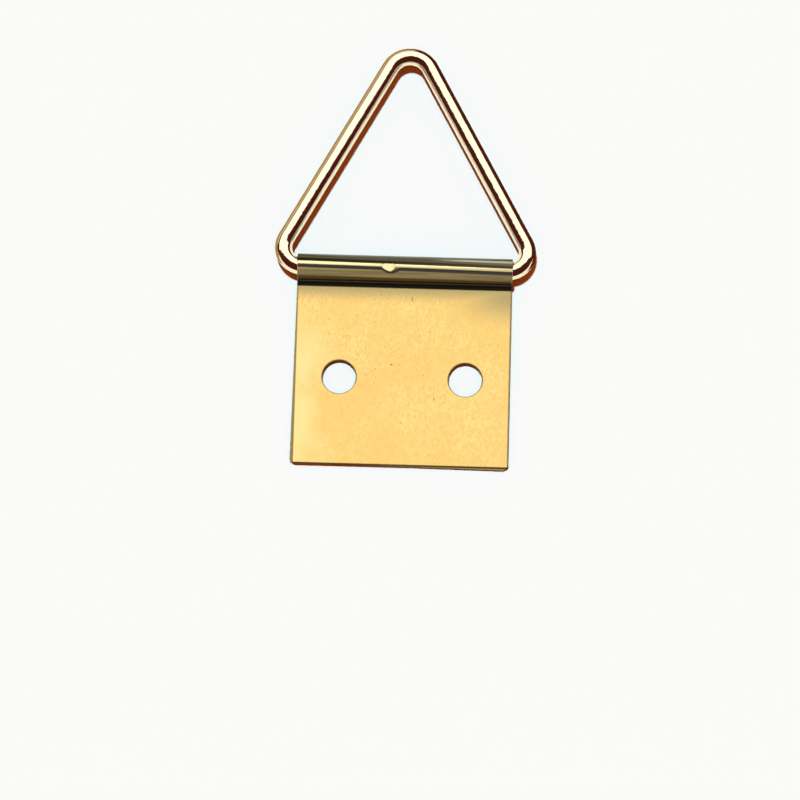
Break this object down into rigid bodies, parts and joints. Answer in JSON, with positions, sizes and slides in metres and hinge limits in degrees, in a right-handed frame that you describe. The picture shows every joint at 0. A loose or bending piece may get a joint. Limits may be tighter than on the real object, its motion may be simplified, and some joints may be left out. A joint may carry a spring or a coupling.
{
  "type": "picture eyelet",
  "caption": "Flat strap of folded brass-plated sheet with two fixing holes, holding a swinging triangular ring of wire, for hanging a picture frame.",
  "frame": {"origin": "midway between the two fixing holes, on the flat back face that seats on the picture frame", "axes": "+Z out of the front face; +Y towards the top of the ring; X along the barrel"},
  "size_m": [0.0242, 0.0396, 0.0024],
  "materials": {
    "plated_sheet": "brass-plated rolled steel sheet, pale gold, satin and slightly mottled, darker along the barrel",
    "plated_wire": "brass-plated drawn steel wire, polished bright"
  },
  "bodies": {
    "strap": {"strap": "plated_sheet"},
    "ring": {"triangle_ring": "plated_wire"}
  },
  "joints": [
    {"name": "ring_swing", "type": "hinge", "parent": "strap", "child": "ring", "pos_m": [0, 0.0102, 0.0012], "axis": [1, 0, 0], "range_deg": [-135, 172]}
  ]
}
